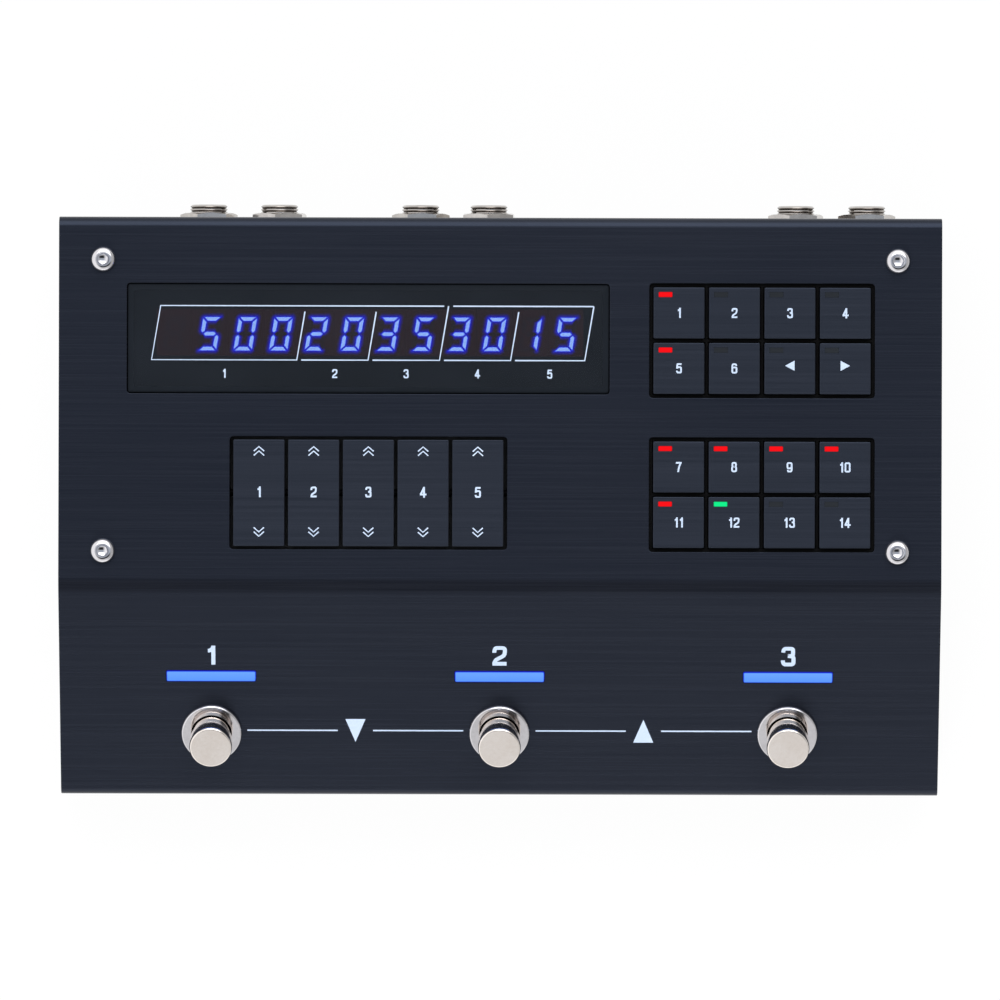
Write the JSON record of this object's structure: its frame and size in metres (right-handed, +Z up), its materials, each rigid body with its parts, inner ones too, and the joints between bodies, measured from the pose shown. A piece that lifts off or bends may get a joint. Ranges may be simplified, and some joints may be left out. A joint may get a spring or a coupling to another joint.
{
  "type": "digital delay pedal",
  "caption": "Floor pedal of folded sheet metal with a smoked digit display, square and rocker keys, a sloped front with footswitches and light bars, and jack sockets in its rear wall.",
  "frame": {"origin": "on the floor, below the middle of the bounding box of the pedal with its sockets", "axes": "+X to the right of a player in front, +Y to the rear wall, +Z up"},
  "size_m": [0.2454, 0.165, 0.0602],
  "materials": {
    "brushed_cover": "hairline brushed sheet, blue-black satin coat",
    "side_sheet": "fine matt blue-black coat",
    "floor_sheet": "fine matt black coat",
    "foot_rubber": "matt rubber",
    "black_screw": "blackened steel",
    "zinc_screw": "zinc plate",
    "zinc_nut": "zinc plate",
    "bright_nickel": "polished nickel plate",
    "smoked_pane": "smoked clear acrylic, polished",
    "digit_case": "dark digit case with blue segments",
    "frame_plastic": "black moulding",
    "key_plastic": "fine matt black moulding with pale print",
    "axle_steel": "ground rod",
    "board_laminate": "green lacquer over glass laminate",
    "switch_plastic": "black moulding",
    "led_resin": "clear resin",
    "post_brass": "nickel plated brass",
    "chip_resin": "black resin",
    "ribbon_plastic": "grey flat cable",
    "switch_case": "black moulding",
    "spring_steel": "spring wire",
    "blue_light": "clear bar lit blue from below",
    "socket_metal": "nickel plated bushing on a black case",
    "socket_plastic": "black moulding",
    "shell_steel": "bright shell"
  },
  "bodies": {
    "enclosure": {"top_cover": "brushed_cover", "left_side_panel": "side_sheet", "right_side_panel": "side_sheet", "bottom_plate": "floor_sheet", "rubber_feet": "foot_rubber", "foot_screws": "black_screw", "bottom_screws": "black_screw", "deck_screws": "bright_nickel", "display_window": "smoked_pane", "display_digits": "digit_case", "key_frame": "frame_plastic", "rocker_frame": "frame_plastic", "rocker_axle": "axle_steel", "panel_board": "board_laminate", "key_switches": "switch_plastic", "key_leds": "led_resin", "main_board": "board_laminate", "board_posts": "post_brass", "board_screws": "zinc_screw", "circuit_chips": "chip_resin", "ribbon_cable": "ribbon_plastic", "footswitch_body_1": "switch_case", "footswitch_body_2": "switch_case", "footswitch_body_3": "switch_case", "footswitch_spring_1": "spring_steel", "footswitch_spring_2": "spring_steel", "footswitch_spring_3": "spring_steel", "footswitch_rings": "bright_nickel", "footswitch_nuts": "zinc_nut", "light_bars": "blue_light", "light_bar_boards": "board_laminate", "jack_sockets": "socket_metal", "jack_nuts": "bright_nickel", "mini_sockets": "socket_plastic", "usb_socket": "shell_steel", "power_inlet": "socket_plastic"},
    "number_key_1": {"number_key_1": "key_plastic"},
    "number_key_2": {"number_key_2": "key_plastic"},
    "number_key_3": {"number_key_3": "key_plastic"},
    "number_key_4": {"number_key_4": "key_plastic"},
    "bank_key_1": {"bank_key_1": "key_plastic"},
    "bank_key_2": {"bank_key_2": "key_plastic"},
    "left_arrow_key": {"left_arrow_key": "key_plastic"},
    "right_arrow_key": {"right_arrow_key": "key_plastic"},
    "function_key_1": {"function_key_1": "key_plastic"},
    "function_key_2": {"function_key_2": "key_plastic"},
    "function_key_3": {"function_key_3": "key_plastic"},
    "function_key_4": {"function_key_4": "key_plastic"},
    "function_key_5": {"function_key_5": "key_plastic"},
    "function_key_6": {"function_key_6": "key_plastic"},
    "function_key_7": {"function_key_7": "key_plastic"},
    "function_key_8": {"function_key_8": "key_plastic"},
    "rocker_key_1": {"rocker_key_1": "key_plastic"},
    "rocker_key_2": {"rocker_key_2": "key_plastic"},
    "rocker_key_3": {"rocker_key_3": "key_plastic"},
    "rocker_key_4": {"rocker_key_4": "key_plastic"},
    "rocker_key_5": {"rocker_key_5": "key_plastic"},
    "footswitch_plunger_1": {"footswitch_plunger_1": "bright_nickel"},
    "footswitch_plunger_2": {"footswitch_plunger_2": "bright_nickel"},
    "footswitch_plunger_3": {"footswitch_plunger_3": "bright_nickel"}
  },
  "joints": [
    {"name": "number_key_1_press", "type": "slide", "parent": "enclosure", "child": "number_key_1", "axis": [0, 0, -1], "range_m": [0, 0.0006], "stiffness_N_per_m": 1600, "springref_m": -0.0002},
    {"name": "number_key_2_press", "type": "slide", "parent": "enclosure", "child": "number_key_2", "axis": [0, 0, -1], "range_m": [0, 0.0006], "stiffness_N_per_m": 1600, "springref_m": -0.0002},
    {"name": "number_key_3_press", "type": "slide", "parent": "enclosure", "child": "number_key_3", "axis": [0, 0, -1], "range_m": [0, 0.0006], "stiffness_N_per_m": 1600, "springref_m": -0.0002},
    {"name": "number_key_4_press", "type": "slide", "parent": "enclosure", "child": "number_key_4", "axis": [0, 0, -1], "range_m": [0, 0.0006], "stiffness_N_per_m": 1600, "springref_m": -0.0002},
    {"name": "bank_key_1_press", "type": "slide", "parent": "enclosure", "child": "bank_key_1", "axis": [0, 0, -1], "range_m": [0, 0.0006], "stiffness_N_per_m": 1600, "springref_m": -0.0002},
    {"name": "bank_key_2_press", "type": "slide", "parent": "enclosure", "child": "bank_key_2", "axis": [0, 0, -1], "range_m": [0, 0.0006], "stiffness_N_per_m": 1600, "springref_m": -0.0002},
    {"name": "left_arrow_key_press", "type": "slide", "parent": "enclosure", "child": "left_arrow_key", "axis": [0, 0, -1], "range_m": [0, 0.0006], "stiffness_N_per_m": 1600, "springref_m": -0.0002},
    {"name": "right_arrow_key_press", "type": "slide", "parent": "enclosure", "child": "right_arrow_key", "axis": [0, 0, -1], "range_m": [0, 0.0006], "stiffness_N_per_m": 1600, "springref_m": -0.0002},
    {"name": "function_key_1_press", "type": "slide", "parent": "enclosure", "child": "function_key_1", "axis": [0, 0, -1], "range_m": [0, 0.0006], "stiffness_N_per_m": 1600, "springref_m": -0.0002},
    {"name": "function_key_2_press", "type": "slide", "parent": "enclosure", "child": "function_key_2", "axis": [0, 0, -1], "range_m": [0, 0.0006], "stiffness_N_per_m": 1600, "springref_m": -0.0002},
    {"name": "function_key_3_press", "type": "slide", "parent": "enclosure", "child": "function_key_3", "axis": [0, 0, -1], "range_m": [0, 0.0006], "stiffness_N_per_m": 1600, "springref_m": -0.0002},
    {"name": "function_key_4_press", "type": "slide", "parent": "enclosure", "child": "function_key_4", "axis": [0, 0, -1], "range_m": [0, 0.0006], "stiffness_N_per_m": 1600, "springref_m": -0.0002},
    {"name": "function_key_5_press", "type": "slide", "parent": "enclosure", "child": "function_key_5", "axis": [0, 0, -1], "range_m": [0, 0.0006], "stiffness_N_per_m": 1600, "springref_m": -0.0002},
    {"name": "function_key_6_press", "type": "slide", "parent": "enclosure", "child": "function_key_6", "axis": [0, 0, -1], "range_m": [0, 0.0006], "stiffness_N_per_m": 1600, "springref_m": -0.0002},
    {"name": "function_key_7_press", "type": "slide", "parent": "enclosure", "child": "function_key_7", "axis": [0, 0, -1], "range_m": [0, 0.0006], "stiffness_N_per_m": 1600, "springref_m": -0.0002},
    {"name": "function_key_8_press", "type": "slide", "parent": "enclosure", "child": "function_key_8", "axis": [0, 0, -1], "range_m": [0, 0.0006], "stiffness_N_per_m": 1600, "springref_m": -0.0002},
    {"name": "rocker_key_1_rock", "type": "hinge", "parent": "enclosure", "child": "rocker_key_1", "pos_m": [-0.06698, 0.00185, 0.0535], "axis": [1, 0, 0], "range_deg": [-2.4, 2.4], "stiffness_Nm_per_rad": 0.35},
    {"name": "rocker_key_2_rock", "type": "hinge", "parent": "enclosure", "child": "rocker_key_2", "pos_m": [-0.05178, 0.00185, 0.0535], "axis": [1, 0, 0], "range_deg": [-2.4, 2.4], "stiffness_Nm_per_rad": 0.35},
    {"name": "rocker_key_3_rock", "type": "hinge", "parent": "enclosure", "child": "rocker_key_3", "pos_m": [-0.03658, 0.00185, 0.0535], "axis": [1, 0, 0], "range_deg": [-2.4, 2.4], "stiffness_Nm_per_rad": 0.35},
    {"name": "rocker_key_4_rock", "type": "hinge", "parent": "enclosure", "child": "rocker_key_4", "pos_m": [-0.02138, 0.00185, 0.0535], "axis": [1, 0, 0], "range_deg": [-2.4, 2.4], "stiffness_Nm_per_rad": 0.35},
    {"name": "rocker_key_5_rock", "type": "hinge", "parent": "enclosure", "child": "rocker_key_5", "pos_m": [-0.00617, 0.00185, 0.0535], "axis": [1, 0, 0], "range_deg": [-2.4, 2.4], "stiffness_Nm_per_rad": 0.35},
    {"name": "footswitch_press_1", "type": "slide", "parent": "enclosure", "child": "footswitch_plunger_1", "axis": [0, 0.3827, -0.9239], "range_m": [0, 0.0025], "stiffness_N_per_m": 2600, "springref_m": -0.0008, "deforming": ["footswitch_spring_1"]},
    {"name": "footswitch_press_2", "type": "slide", "parent": "enclosure", "child": "footswitch_plunger_2", "axis": [0, 0.3827, -0.9239], "range_m": [0, 0.0025], "stiffness_N_per_m": 2600, "springref_m": -0.0008, "deforming": ["footswitch_spring_2"]},
    {"name": "footswitch_press_3", "type": "slide", "parent": "enclosure", "child": "footswitch_plunger_3", "axis": [0, 0.3827, -0.9239], "range_m": [0, 0.0025], "stiffness_N_per_m": 2600, "springref_m": -0.0008, "deforming": ["footswitch_spring_3"]}
  ]
}
